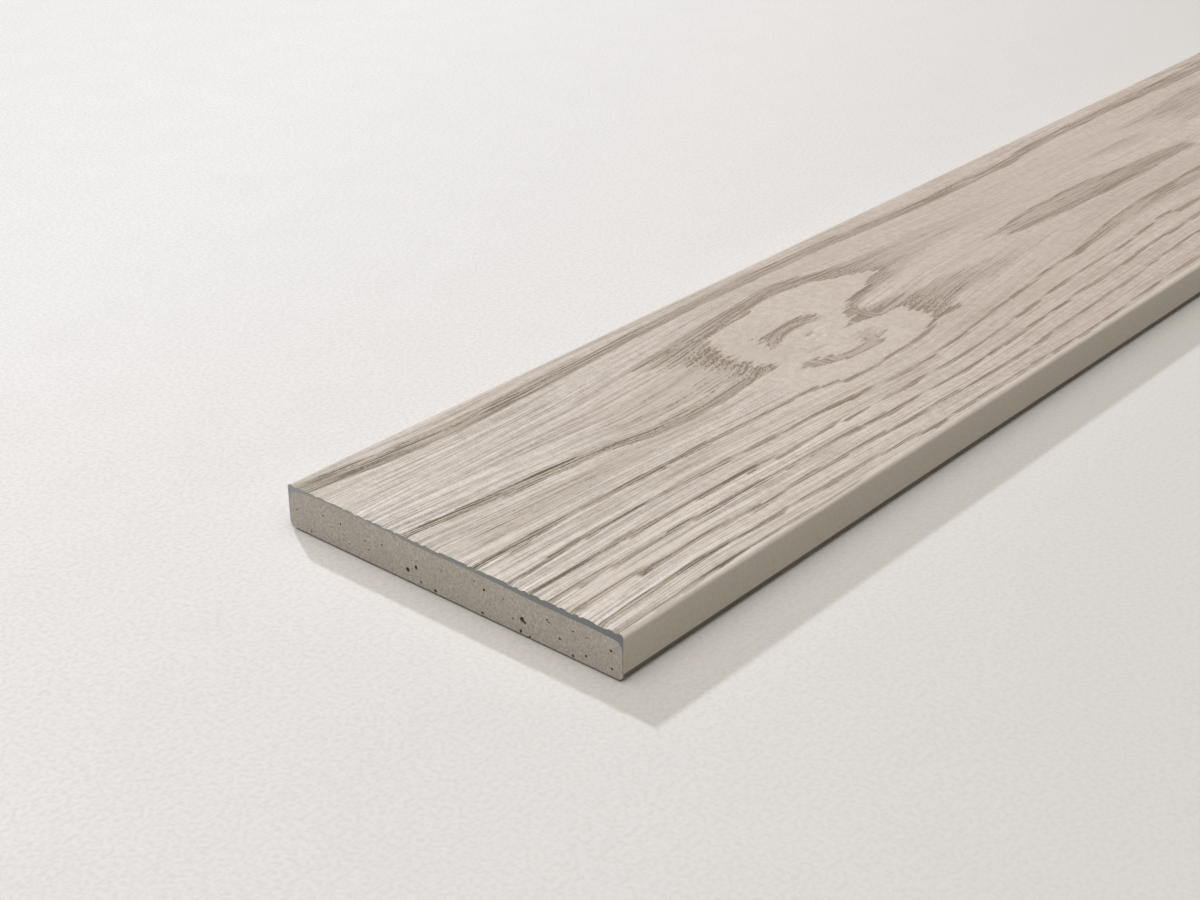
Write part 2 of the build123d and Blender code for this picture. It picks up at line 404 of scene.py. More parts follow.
def outlineFade(u, v, outline):  # darkness just outside an outline, how steeply it runs, and what is inside
    curve = smoothLine(outline, 4)
    squash = figure["squash"]
    best = np.full(u.shape, 1e9)
    dark, width, steep = np.zeros((3, *u.shape))
    inside = np.zeros(u.shape, bool)
    for a, b in zip(curve, np.roll(curve, -1, axis=0)):
        du = (b[0] - a[0]) / squash
        dv = b[1] - a[1]
        t = ((u - a[0]) / squash * du + (v - a[1]) * dv) / (du * du + dv * dv + 1e-9)
        t = np.clip(t, 0, 1)
        gap = np.hypot((u - a[0]) / squash - t * du, v - a[1] - t * dv)
        closer = gap < best
        best = np.where(closer, gap, best)
        dark = np.where(closer, a[2] + t * (b[2] - a[2]), dark)
        width = np.where(closer, a[3] + t * (b[3] - a[3]), width)
        steep = np.where(closer, abs(dv) / (abs(dv) + abs(du) * squash / 2 + 1e-9), steep)
        if dv:
            inside ^= ((a[1] > v) != (b[1] > v)) & (u < a[0] + (v - a[1]) / dv * (b[0] - a[0]))
    band = np.where(inside, 0, dark * (1 - smoothStep(0.4, 1.0, best / width)))
    turn = steep * (1 - smoothStep(2, 5, best))
    return band, turn, inside


def paintFigure(u, v):  # what the coat and the relief need to know at each point of the face
    raggedU = u + figure["ragged"] * (softNoise(u / 40, v / 0.9, 31) - 0.5)
    raggedV = v + 0.9 * (softNoise(u / 6, v / 3, 32) - 0.5)
    rim, turn, inside = outlineFade(raggedU, raggedV, figure["heart"])
    strength = figure["strength"]
    band = strength["rim"] * rim
    heads = np.zeros(u.shape)
    for top, bottom, points in figure["bands"]:
        outer = strength["bands"] * softBand(raggedU, raggedV, top, bottom, points)
        band = np.maximum(band, np.where(inside, 0, outer))
    for top, bottom, points in figure["marks"]:
        band = np.maximum(band, strength["marks"] * softBand(raggedU, raggedV, top, bottom, points))
    for top, bottom, points in figure["arcs"]:
        arc = strength["arcs"] * softBand(raggedU, v, top, bottom, points)
        band = np.maximum(band, arc)
        heads = np.maximum(heads, arc)
    for number, (side, dark, points) in enumerate(figure["rings"]):
        ring, head = dashedRing(u, v, side, dark, points, 40 + number)
        band = np.maximum(band, ring)
        heads = np.maximum(heads, head)
    speck = np.zeros(u.shape)
    for su, sv, length, width in figure["specks"]:
        reach = np.hypot((u - su) / length, (v - sv + 0.15 * (u - su)) / width)
        speck = np.maximum(speck, 1 - smoothStep(0.3, 0.7, reach))
    for fu, fv, length, width in figure["flecks"]:
        reach = np.hypot((u - fu) / length, (v - fv) / width)
        speck = np.minimum(speck, smoothStep(0.3, 0.7, reach) - 1)

    lines = [np.array(line, float) for line in figure["guides"]]
    here = np.array([np.interp(u, line[:, 0], line[:, 1]) for line in lines])
    grainV = np.zeros(u.shape)
    for low, high, first, second in zip(here, here[1:], lines, lines[1:]):
        share = (v - low) / (high - low)
        between = (share >= 0) & (share < 1)
        grainV = np.where(between, first[0, 1] + share * (second[0, 1] - first[0, 1]), grainV)
    ku, kv, innerRadius, outerRadius = figure["knot"]
    radius = np.hypot((u - ku) * 0.8, v - kv)
    rounded = 1 - smoothStep(innerRadius, outerRadius, radius)
    upright = abs(u - ku) * 0.8 / np.maximum(radius, 1)  # 1 where the round grain runs across the board
    grainV += rounded * (kv + np.where(v < kv, -radius, radius) - grainV)

    away = np.clip(u - figure["unseenFrom"][0], 0, None)
    middle = 64 + 9 * np.sin(away / 330)
    climb = figure["archRings"] * np.sin(2 * math.pi * away / figure["archLength"])
    drift = 0.5 * softNoise(u / 260, v / 35, 33) + 0.22 * softNoise(u / 140, v / 7, 34)
    rings = figure["ringsToEdge"] * ((v - middle) / 73) ** 2 + climb + drift
    return {
        "poreBand": band,
        "ringHead": heads,
        "grainTurn": np.maximum(turn * (band > 0.2), rounded * (0.2 + 0.6 * upright)),
        "grainAcross": grainV,
        "speck": speck,
        "calm": inside * smoothStep(150, 185, u),
        "ringCount": rings,
        "unseen": smoothStep(*figure["unseenFrom"], u),
    }


# The skin: the grained face and both long edges
skin = {
    "faceArris": 1.3,  # soft edge between the face and a long edge, mm
    "arrisSteps": 4,
    "edgeSteps": 3,
    "columns": 340,  # spans across the face
    # up to this u, rows this far apart, mm
    "rowSpans": ((130, 2.2), (165, 3.5), (300, 2.4), (460, 5.0), (700, 10.0), (3200, 45.0)),
    "grooveDepth": 0.36,  # of the moulded pores, mm
    "ripple": 0.13,  # of the brushed grain between them, mm
    "nick": 0.45,  # deepest nick that the saw leaves along the end of the face, mm
}


def faceRows():  # place of each row, in metres from the near end
    rows = [0.0]
    for end, step in skin["rowSpans"]:
        count = round((end - rows[-1]) / step)
        rows += list(np.linspace(rows[-1], end, count + 1)[1:])
    return np.array(rows) * boardLength / rows[-1]


def buildSkin():
    rows = faceRows()
    arris = skin["faceArris"] * mm
    faceHalf = halfWidth - arris
    bpy.ops.object.select_all(action="DESELECT")
    bpy.ops.mesh.primitive_grid_add(
        x_subdivisions=len(rows) - 1, y_subdivisions=skin["columns"], size=1, location=(0, 0, faceHeight))
    piece = bpy.context.object
    piece.name = "grainedSkin"
    bpy.ops.object.mode_set(mode="EDIT")
    bpy.ops.transform.resize(value=(boardLength, 2 * faceHalf, 1))
    bpy.ops.object.mode_set(mode="OBJECT")
    bpy.ops.object.transform_apply(location=True, rotation=True, scale=True)

    mesh = piece.data  # rows closer together where the figure turns
    co = vertexPlaces(mesh)
    order = np.rint((co[:, 0] / boardLength + 0.5) * (len(rows) - 1)).astype(int)
    co[:, 0] = rows[order] - halfLength
    mesh.vertices.foreach_set("co", co.ravel())

    for side in (1, -1):  # arris, long edge and hem, drawn out of the face's border
        selectEdges(piece, lambda e: all(v.co.y * side > faceHalf - 1e-6 for v in e.verts))
        turns = np.linspace(0, math.pi / 2, skin["arrisSteps"] + 1)
        for a, b in zip(turns, turns[1:]):
            move = (0, side * arris * (math.sin(b) - math.sin(a)), arris * (math.cos(b) - math.cos(a)))
            bpy.ops.mesh.extrude_region_move(TRANSFORM_OT_translate={"value": move})
        drop = (faceHeight - arris - hemHeight) / skin["edgeSteps"]
        for _ in range(skin["edgeSteps"]):
            bpy.ops.mesh.extrude_region_move(TRANSFORM_OT_translate={"value": (0, 0, -drop)})
        hem = (0, -side * bondLine["edgeAtHem"] * mm, 0)
        bpy.ops.mesh.extrude_region_move(TRANSFORM_OT_translate={"value": hem})
        bpy.ops.object.mode_set(mode="OBJECT")

    hemLine = halfWidth - bondLine["edgeAtHem"] * mm  # the back of the skin joins the two hems
    selectEdges(piece, lambda e: all(
        abs(abs(v.co.y) - hemLine) < 1e-6 and v.co.z < hemHeight + 1e-6 for v in e.verts))
    bpy.ops.mesh.bridge_edge_loops(number_cuts=bondLine["columns"] - 1, interpolation="LINEAR", smoothness=0)
    bpy.ops.object.mode_set(mode="OBJECT")
    co = vertexPlaces(mesh)
    back = (co[:, 2] < hemHeight + 1e-6) & (abs(co[:, 1]) < hemLine + 1e-6)
    path = bondPath()
    column = np.rint((0.5 - co[back, 1] / (2 * hemLine)) * bondLine["columns"]).astype(int)
    co[back, 1:] = path[column]
    mesh.vertices.foreach_set("co", co.ravel())
    return piece


def mouldGrain(piece):  # the moulded grain, as geometry and as attributes for the coat
    mesh = piece.data
    co = vertexPlaces(mesh)
    arris = skin["faceArris"] * mm
    onFace = co[:, 2] > faceHeight - 1e-6
    u = np.round((co[:, 0] + halfLength) / mm, 3)
    v = (halfWidth - co[:, 1]) / mm
    painted = paintFigure(u[onFace], v[onFace])
    values = {name: np.zeros(len(co)) for name in painted}
    for name in painted:
        values[name][onFace] = painted[name]
    values["grainAcross"][~onFace] = v[~onFace]

    grainV = values["grainAcross"]
    strands = softNoise(u / 22, grainV / 0.8, 11)
    brushed = 0.6 * softNoise(u / 70, grainV / 1.24, 12) + 0.4 * softNoise(u / 35, grainV / 2.5, 13)
    groove = values["poreBand"] * (0.3 + 0.7 * smoothStep(0.3, 0.6, strands))
    groove += 1.5 * np.clip(values["speck"], -0.1, 1)
    border = smoothStep(0, 1.5, (halfWidth - arris - abs(co[:, 1])) / mm)  # the relief ends at the arris
    sink = skin["grooveDepth"] * groove + skin["ripple"] * brushed * (1 - 0.95 * values["calm"])
    sawn = (u < 0.01) | (u > boardLength / mm - 0.01)
    sink += sawn * skin["nick"] * smoothStep(0.5, 0.85, softNoise(v / 1.7, u / 9, 17))
    co[:, 2] -= np.where(onFace, sink * border * mm, 0)
    mesh.vertices.foreach_set("co", co.ravel())
    for name in values:
        attribute = mesh.attributes.new(name, "FLOAT", "POINT")
        attribute.data.foreach_set("value", values[name].astype(np.float32))
    mesh.update()


def closeEnds(piece):  # the sawn ends, which follow the moulded grain
    bpy.ops.object.select_all(action="DESELECT")
    piece.select_set(True)
    bpy.context.view_layer.objects.active = piece
    for end in (-halfLength, halfLength):
        selectEdges(piece, lambda e: e.is_boundary and all(abs(v.co.x - end) < 1e-6 for v in e.verts))
        bpy.ops.mesh.fill(use_beauty=False)
        bpy.ops.object.mode_set(mode="OBJECT")
    bpy.ops.object.mode_set(mode="EDIT")
    bpy.ops.mesh.select_all(action="SELECT")
    bpy.ops.mesh.normals_make_consistent(inside=False)
    bpy.ops.object.mode_set(mode="OBJECT")


def limedGrainCoat():
    # Lime-washed coat on a moulded elastomer skin: pale and matt, brushed along the grain,
    # with grey-brown left in the moulded pores and plainer on the long edges;
    # the long edges are also painted darker as shade, and the arrises carry a painted highlight
    material, tree = newMaterial("limedGrainCoat")
    place = addNode(tree, "TexCoord").outputs["Object"]
    split = addNode(tree, "SeparateXYZ", links={0: place})
    along = addNode(tree, "Math MULTIPLY_ADD", {1: 1 / mm, 2: halfLength / mm},
                    {0: split.outputs["X"]}).outputs[0]  # mm from the near end
    painted = {}
    for name in ("poreBand", "ringHead", "grainTurn", "grainAcross", "speck", "calm", "ringCount", "unseen"):
        painted[name] = addNode(tree, "Attribute", {"attribute_name": name}).outputs["Fac"]
    grain = addNode(tree, "CombineXYZ", links={0: along, 1: painted["grainAcross"]}).outputs[0]

    streaks = {  # length along and width across the grain in mm, and detail
        "longPores": (40, 0.55, 2), "shortPores": (1.8, 0.42, 2), "hairs": (42, 0.62, 1),
        "brushed": (60, 1.0, 1), "broad": (110, 3.2, 2), "tone": (170, 20, 2), "ringFade": (90, 5, 1),
    }
    noise = {}
    for number, (name, (length, width, detail)) in enumerate(streaks.items()):
        settings = {"Location": (0, 0, 7.3 * number), "Scale": (1 / length, 1 / width, 1)}
        spot = addNode(tree, "Mapping", settings, {"Vector": grain}).outputs[0]
        noise[name] = addNode(tree, "TexNoise", {"Scale": 1.0, "Detail": detail, "Roughness": 0.55},
                              {"Vector": spot}).outputs[0]

    # rings of the unseen stretch: dark where the count passes a whole number, then fading
    part = addNode(tree, "Math FRACT", links={0: painted["ringCount"]}).outputs[0]
    rise = addNode(tree, "MapRange", {"From Min": 0.0, "From Max": 0.05}, {0: part}).outputs[0]
    fall = addNode(tree, "MapRange", {"From Min": 0.08, "From Max": 0.45, "To Min": 1.0, "To Max": 0.0},
                   {0: part}).outputs[0]
    ring = addNode(tree, "Math MULTIPLY", links={0: rise, 1: fall}).outputs[0]
    strength = addNode(tree, "MapRange", {"From Min": 0.35, "From Max": 0.6, "To Min": 0.45, "To Max": 1.0},
                       {0: noise["ringFade"]}).outputs[0]
    ring = addNode(tree, "Math MULTIPLY", links={0: ring, 1: strength}).outputs[0]
    ring = addNode(tree, "Math MULTIPLY", links={0: ring, 1: painted["unseen"]}).outputs[0]
    band = addNode(tree, "Math MAXIMUM", links={0: ring, 1: painted["poreBand"]}).outputs[0]

    # pores: the more of them, the lower the limit that the streaky noise has to pass
    short = addNode(tree, "MapRange", {"To Min": 0.2, "To Max": 0.6}, {0: painted["grainTurn"]}).outputs[0]
    pores = addNode(tree, "Mix FLOAT",
                    links={0: short, 2: noise["longPores"], 3: noise["shortPores"]}).outputs[0]
    share = addNode(tree, "Math POWER", {1: 0.6}, {0: band}).outputs[0]
    limit = addNode(tree, "Math MULTIPLY_ADD", {1: -0.3, 2: 0.74}, {0: share}).outputs[0]
    over = addNode(tree, "Math SUBTRACT", links={0: pores, 1: limit}).outputs[0]
    pore = addNode(tree, "MapRange", {"From Min": -0.015, "From Max": 0.035}, {0: over}).outputs[0]
    unbroken = addNode(tree, "MapRange", {"From Min": 0.36, "From Max": 0.54, "To Min": 0.35},
                       {0: pores}).outputs[0]
    line = addNode(tree, "Math MULTIPLY", {"use_clamp": True},
                   {0: painted["ringHead"], 1: unbroken}).outputs[0]
    for mark in (line, painted["speck"]):
        pore = addNode(tree, "Math MAXIMUM", links={0: pore, 1: mark}).outputs[0]

    # lime wash between the pores: nearly even, with grit, soft brush marks and sparse fine hairs
    even = addNode(tree, "MapRange", {"From Min": 60.0, "From Max": 330.0, "To Min": 1.0, "To Max": 0.5},
                   {0: along}).outputs[0]
    even = addNode(tree, "Math SUBTRACT", {"use_clamp": True}, {0: even, 1: painted["calm"]}).outputs[0]
    wash = None
    for size, least, most in ((0.8, 0.5, 0.72), (3.0, -0.1, 0.1)):  # grit and mottle, mm
        grit = addNode(tree, "TexNoise", {"Scale": 1 / (size * mm), "Detail": 2.0},
                       {"Vector": place}).outputs[0]
        grit = addNode(tree, "MapRange", {"From Min": 0.34, "From Max": 0.64,
                                          "To Min": least, "To Max": most}, {0: grit}).outputs[0]
        wash = addNode(tree, "Math", {1: 0.0}, {0: grit, 1: wash} if wash else {0: grit}).outputs[0]
    for name, low, high, least, most in (
            ("brushed", 0.38, 0.58, -0.1, 0.1), ("broad", 0.35, 0.65, -0.1, 0.1),
            ("hairs", 0.49, 0.57, 0.05, -0.4)):
        lines = addNode(tree, "MapRange", {"From Min": low, "From Max": high,
                                           "To Min": least, "To Max": most}, {0: noise[name]}).outputs[0]
        wash = addNode(tree, "Math MULTIPLY_ADD", links={0: lines, 1: even, 2: wash}).outputs[0]
    white = addNode(tree, "Math MULTIPLY", {1: -0.3, "use_clamp": True}, {0: painted["speck"]}).outputs[0]
    wash = addNode(tree, "Math ADD", links={0: wash, 1: white}).outputs[0]
    right = addNode(tree, "MapRange", {"From Min": 10 * mm, "From Max": -25 * mm},
                    {0: split.outputs["Y"]}).outputs[0]
    nearEndPaintedLight = addNode(tree, "MapRange", {"From Min": 40.0, "From Max": 260.0, "To Min": 0.13,
                                         "To Max": -0.05}, {0: along}).outputs[0]  # painted light: paler near the end on the right half, a little darker further on
    wash = addNode(tree, "Math MULTIPLY_ADD", links={0: right, 1: nearEndPaintedLight, 2: wash}).outputs[0]
    away = addNode(tree, "MapRange", {"From Min": 0.0, "From Max": 300.0}, {0: along}).outputs[0]
    filled = addNode(tree, "MapRange", {"From Min": 60.0, "From Max": 210.0}, {0: along}).outputs[0]
    # painted light falloff: the wash grows darker further from the near end, for light that falls off along
    # the board
    tones = {}
    for name, near, far, share in (
            ("thin", "#9b9085", "#a39485", away), ("thick", "#eae2d9", "#ddcfc5", away),
            ("tan", "#aa9e8a", "#ae9f92", filled), ("grime", "#685c46", "#938473", filled)):
        tones[name] = addNode(tree, "Mix RGBA", {6: hexColour(near), 7: hexColour(far)},
                              {0: share}).outputs[2]  # at the near end, and further off
    face = addNode(tree, "Mix RGBA", links={0: wash, 6: tones["thin"], 7: tones["thick"]}).outputs[2]
    warm = addNode(tree, "MapRange", {"From Min": 0.4, "From Max": 0.65, "To Max": 0.35},
                   {0: noise["tone"]}).outputs[0]
    face = addNode(tree, "Mix RGBA", {7: hexColour("#c4b6a8")}, {0: warm, 6: face}).outputs[2]
    side = addNode(tree, "Math ABSOLUTE", links={0: split.outputs["Y"]}).outputs[0]
    paintedArrisHighlight = addNode(tree, "MapRange", {"From Min": halfWidth - 2.4 * mm, "From Max": halfWidth - 0.6 * mm,
                                        "To Max": 0.65}, {0: side}).outputs[0]  # painted highlight, paler by the arrises
    face = addNode(tree, "Mix RGBA", {7: hexColour("#efe8e0")}, {0: paintedArrisHighlight, 6: face}).outputs[2]
    stain = addNode(tree, "MapRange", {"From Min": 0.05, "From Max": 0.52, "To Max": 0.64},
                    {0: band}).outputs[0]
    for cover, name in ((stain, "tan"), (pore, "grime")):
        face = addNode(tree, "Mix RGBA", links={0: cover, 6: face, 7: tones[name]}).outputs[2]

    mottle = addNode(tree, "TexNoise", {"Scale": 1 / (1.3 * mm), "Detail": 3.0}, {"Vector": place}).outputs[0]
    tint = addNode(tree, "MapRange", {"From Min": 0.3, "From Max": 0.7}, {0: mottle}).outputs[0]
    # painted shade: the plainer coat of the long edges is made darker, as they face away from the light
    edge = addNode(tree, "Mix RGBA", {6: hexColour("#c5beb1"), 7: hexColour("#bab3a7")},
                   {0: tint}).outputs[2]
    onFace = addNode(tree, "MapRange", {"From Min": faceHeight - 1.7 * mm, "From Max": faceHeight - 0.4 * mm},
                     {0: split.outputs["Z"]}).outputs[0]  # painted highlight: the pale face colour runs over the arris
    colour = addNode(tree, "Mix RGBA", links={0: onFace, 6: edge, 7: face}).outputs[2]

    height = addNode(tree, "Math SUBTRACT", links={0: wash, 1: pore}).outputs[0]
    height = addNode(tree, "Math MULTIPLY", links={0: height, 1: onFace}).outputs[0]
    height = addNode(tree, "Math MULTIPLY_ADD", {1: 0.15}, {0: mottle, 2: height}).outputs[0]
    bump = addNode(tree, "Bump", {"Strength": 0.6, "Distance": 0.15 * mm}, {"Height": height})
    finishMaterial(tree, {"Roughness": 0.6, "IOR": 1.46, "Specular IOR Level": 0.4},
                   {"Base Color": colour, "Normal": bump.outputs[0]})
    return material


def sawnElastomer():
    # Blue-grey polyurethane skin, sawn through: dense, even and slightly waxy
    material, tree = newMaterial("sawnElastomer")
    place = addNode(tree, "TexCoord").outputs["Object"]
    grit = addNode(tree, "TexNoise", {"Scale": 1 / (0.8 * mm), "Detail": 3.0}, {"Vector": place}).outputs[0]
    ramp = addNode(tree, "ValToRGB", {"stops": ((0.3, "#979a9b"), (0.7, "#b0b1b0"))}, {0: grit})
    across = addNode(tree, "SeparateXYZ", links={0: place}).outputs["Y"]
    rightDarkening = addNode(tree, "MapRange", {"From Min": 0.6 * halfWidth, "From Max": -0.9 * halfWidth,
                                         "To Max": 0.7}, {0: across}).outputs[0]  # darker towards the right edge
    colour = addNode(tree, "Mix RGBA", {7: hexColour("#71777a")},
                     {0: rightDarkening, 6: ramp.outputs[0]}).outputs[2]
    bump = addNode(tree, "Bump", {"Strength": 0.4, "Distance": 0.1 * mm}, {"Height": grit})
    finishMaterial(tree, {"Roughness": 0.55, "IOR": 1.5}, {"Base Color": colour, "Normal": bump.outputs[0]})
    return material


def skinSheet(places, normals, centres, kinds):  # the seen end of the face gets half of the map
    x, y, z = places.T
    across = y / (2 * halfWidth) + 0.5
    up = (z - hemHeight) / (faceHeight - hemHeight)
    seen = 0.7  # metres of the face
    u = strip(x / boardLength + 0.5, 0.01, 0.99)
    under = 0.8 * y / halfWidth + 0.2 * np.sign(y) * (1 - up)
    v = strip(0.5 + 0.5 * under, 0.002, 0.02)
    for low, wanted in ((0.075, normals[:, 1] < -0.5), (0.05, normals[:, 1] > 0.5)):
        v = np.where(wanted & (kinds == 0), strip(up, low, low + 0.02), v)
    top = (normals[:, 2] > 0.2) & (kinds == 0)
    nearer = centres[:, 0] < seen - halfLength
    for low, wanted, begin, end in ((0.56, nearer, 0, seen), (0.11, ~nearer, seen, boardLength)):
        u = np.where(top & wanted, strip((x + halfLength - begin) / (end - begin), 0.01, 0.99), u)
        v = np.where(top & wanted, strip(across, low, low + 0.43), v)
    for low, wanted in ((0.01, normals[:, 0] < -0.9), (0.51, normals[:, 0] > 0.9)):
        u = np.where(wanted, strip(across, low, low + 0.47), u)
        v = np.where(wanted, strip(up, 0.025, 0.045), v)
    return np.column_stack([u, v])


def finishSkin(piece):
    mesh = piece.data
    mesh.materials.append(limedGrainCoat())
    mesh.materials.append(sawnElastomer())
    for face in mesh.polygons:
        coated = face.normal.z > 0.2 or abs(face.center.y) > halfWidth - 0.05 * mm
        face.material_index = 0 if coated and abs(face.normal.x) < 0.9 else 1
    bpy.ops.object.select_all(action="DESELECT")
    piece.select_set(True)
    bpy.context.view_layer.objects.active = piece
    bpy.ops.object.shade_smooth_by_angle(angle=math.radians(40))
    layBakeMap(piece, skinSheet)
    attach(piece, "root")
    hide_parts("face_skin")


skinPiece = buildSkin()
print("skin built", len(skinPiece.data.polygons), "faces")
mouldGrain(skinPiece)
closeEnds(skinPiece)
print("grain moulded and ends sawn")
finishSkin(skinPiece)
print("skin finished")

# The core: cast resin and mineral, sawn at both ends
core = {
    "backArris": 2.0,  # eased edge along the back, mm
    "arrisSteps": 5,
    # air voids on the near end: mm from the left edge, mm up from the back, mm across
    "voids": (
        (3.8, 7.3, 0.7), (10.4, 1.3, 0.7), (16.8, 9.6, 0.7), (25.3, 9.5, 0.8), (26.6, 5.9, 0.6),
        (36.7, 7.3, 0.7), (29.3, 3.5, 0.6), (38.4, 4.6, 0.7), (44.7, 8.8, 0.7), (56.3, 4.1, 1.7),
        (60.1, 6.3, 1.5), (62.1, 1.7, 1.0), (68.5, 0.9, 1.3), (71.5, 9.5, 0.6), (85.8, 11.2, 0.6),
        (90.0, 9.6, 1.0), (98.0, 9.5, 0.6), (89.0, 0.9, 1.0), (105.8, 5.3, 1.7), (107.0, 4.6, 1.1),
        (102.0, 4.1, 0.7), (105.2, 0.9, 1.2), (109.0, 0.3, 1.1), (116.1, 9.3, 0.8), (116.9, 8.7, 0.7),
        (126.5, 9.5, 0.8), (121.2, 4.7, 0.9), (132.0, 9.5, 0.6), (141.3, 8.8, 1.0), (126.4, 0.8, 1.2),
        (131.6, 2.9, 1.0), (141.7, 2.7, 0.9),
    ),
    "farVoids": 30,  # made-up voids on the far end
    "voidDepth": 0.8,  # a void's depth for its width
}


def coreSection():  # points (y, z) round the core
    arris = core["backArris"] * mm
    points = [tuple(p) for p in bondPath()]
    turns = np.linspace(0, math.pi / 2, core["arrisSteps"] + 1)
    points.append((-halfWidth, hemHeight))
    for a in turns:
        points.append((-halfWidth + arris * (1 - math.cos(a)), arris * (1 - math.sin(a))))
    for a in turns[::-1]:
        points.append((halfWidth - arris * (1 - math.cos(a)), arris * (1 - math.sin(a))))
    points.append((halfWidth, hemHeight))
    return points


def buildCore():
    section = coreSection()
    bpy.ops.object.select_all(action="DESELECT")
    bpy.ops.mesh.primitive_circle_add(
        vertices=len(section), radius=halfWidth, fill_type="NGON", location=(0, 0, 0))
    piece = bpy.context.object
    piece.name = "sawnCore"
    for vertex, (y, z) in zip(piece.data.vertices, section):
        vertex.co = (-halfLength, y, z)
    bpy.ops.object.mode_set(mode="EDIT")
    bpy.ops.mesh.select_all(action="SELECT")
    bpy.ops.mesh.extrude_region_move(TRANSFORM_OT_translate={"value": (boardLength, 0, 0)})
    bpy.ops.mesh.select_all(action="SELECT")
    bpy.ops.mesh.normals_make_consistent(inside=False)
    bpy.ops.object.mode_set(mode="OBJECT")
    return piece


def buildVoids():  # a lumpy bubble at each place, all joined into one
    draw = np.random.default_rng(21)
    places = [(-halfLength, halfWidth - v * mm, z * mm, size * mm) for v, z, size in core["voids"]]
    for _ in range(core["farVoids"]):
        y = draw.uniform(-0.95, 0.95) * halfWidth
        z = draw.uniform(0.05, 0.75) * faceHeight
        places.append((halfLength, y, z, draw.uniform(0.6, 1.5) * mm))
    bubbles = []
    for x, y, z, size in places:
        bpy.ops.mesh.primitive_ico_sphere_add(subdivisions=2, radius=size / 2, location=(x, y, z))
        bubble = bpy.context.object
        bubble.scale = (2 * core["voidDepth"], draw.uniform(0.8, 1.1), draw.uniform(0.8, 1.15))
        for vertex in bubble.data.vertices:
            vertex.co *= draw.uniform(0.86, 1.1)
        bubbles.append(bubble)
    bpy.ops.object.select_all(action="DESELECT")
    for bubble in bubbles:
        bubble.select_set(True)
    bpy.context.view_layer.objects.active = bubbles[0]
    bpy.ops.object.transform_apply(location=True, rotation=True, scale=True)
    bpy.ops.object.join()
    return bubbles[0]


def sawnResinMortar():
    # Cast polyurethane resin full of mineral filler, sawn: matt, grey-brown, speckled, with a sandy bite
    material, tree = newMaterial("sawnResinMortar")
    place = addNode(tree, "TexCoord").outputs["Object"]
    cloud = addNode(tree, "TexNoise", {"Scale": 1 / (9 * mm), "Detail": 3.0}, {"Vector": place}).outputs[0]
    sand = addNode(tree, "TexNoise", {"Scale": 1 / (0.9 * mm), "Detail": 3.0, "Roughness": 0.65},
                   {"Vector": place}).outputs[0]
    ramp = addNode(tree, "ValToRGB", {"stops": ((0.3, "#aca59c"), (0.7, "#ded7ce"))}, {0: sand})
    shade = addNode(tree, "MapRange", {"From Min": 0.35, "From Max": 0.65, "To Max": 0.35}, {0: cloud})
    colour = addNode(tree, "Mix RGBA", {7: hexColour("#beb6ab")},
                     {0: shade.outputs[0], 6: ramp.outputs[0]}).outputs[2]
    grains = addNode(tree, "TexVoronoi", {"Scale": 1 / (2.4 * mm)}, {"Vector": place})
    pit = addNode(tree, "MapRange", {"From Min": 0.05, "From Max": 0.13, "To Min": 1.0, "To Max": 0.0},
                  {0: grains.outputs[0]}).outputs[0]
    chosen = addNode(tree, "SeparateColor", links={0: grains.outputs[1]}).outputs[0]
    chosen = addNode(tree, "Math GREATER_THAN", {1: 0.6}, {0: chosen}).outputs[0]
    pit = addNode(tree, "Math MULTIPLY", links={0: pit, 1: chosen}).outputs[0]
    colour = addNode(tree, "Mix RGBA", {7: hexColour("#9a9184")}, {0: pit, 6: colour}).outputs[2]
    height = addNode(tree, "Math SUBTRACT", links={0: sand, 1: pit}).outputs[0]
    bump = addNode(tree, "Bump", {"Strength": 0.5, "Distance": 0.2 * mm}, {"Height": height})
    finishMaterial(tree, {"Roughness": 0.8, "IOR": 1.5, "Specular IOR Level": 0.3},
                   {"Base Color": colour, "Normal": bump.outputs[0]})
    return material


def castBack():
    # The core's cast back: the same resin, never sawn, so closed and dull, with a rough bloom; darker than
    # the sawn ends, partly for being cast and partly as painted shade along the back arris by the floor
    material, tree = newMaterial("castBack")
    place = addNode(tree, "TexCoord").outputs["Object"]
    bloom = addNode(tree, "TexNoise", {"Scale": 1 / (14 * mm), "Detail": 5.0, "Roughness": 0.6},
                    {"Vector": place}).outputs[0]
    pimples = addNode(tree, "TexNoise", {"Scale": 1 / (1.5 * mm), "Detail": 2.0},
                      {"Vector": place}).outputs[0]
    # painted shade: dark stops that also stand for the shade under the long edges by the floor
    ramp = addNode(tree, "ValToRGB", {"stops": ((0.3, "#574f43"), (0.72, "#6f6659"))}, {0: bloom})
    bump = addNode(tree, "Bump", {"Strength": 0.5, "Distance": 0.25 * mm}, {"Height": pimples})
    finishMaterial(tree, {"Roughness": 0.7, "IOR": 1.5},
                   {"Base Color": ramp.outputs[0], "Normal": bump.outputs[0]})
    return material


def voidWall():
    # The smooth, resin-rich wall of an air bubble, its colour darkened as painted shade inside the hollow
    material, tree = newMaterial("voidWall")
    place = addNode(tree, "TexCoord").outputs["Object"]
    grit = addNode(tree, "TexNoise", {"Scale": 1 / (0.5 * mm), "Detail": 2.0}, {"Vector": place}).outputs[0]
    # painted shade: the dark colour stands for the shade inside the bubble
    ramp = addNode(tree, "ValToRGB", {"stops": ((0.0, "#544e46"), (1.0, "#7d7468"))}, {0: grit})
    finishMaterial(tree, {"Roughness": 0.5, "IOR": 1.5}, {"Base Color": ramp.outputs[0]})
    return material


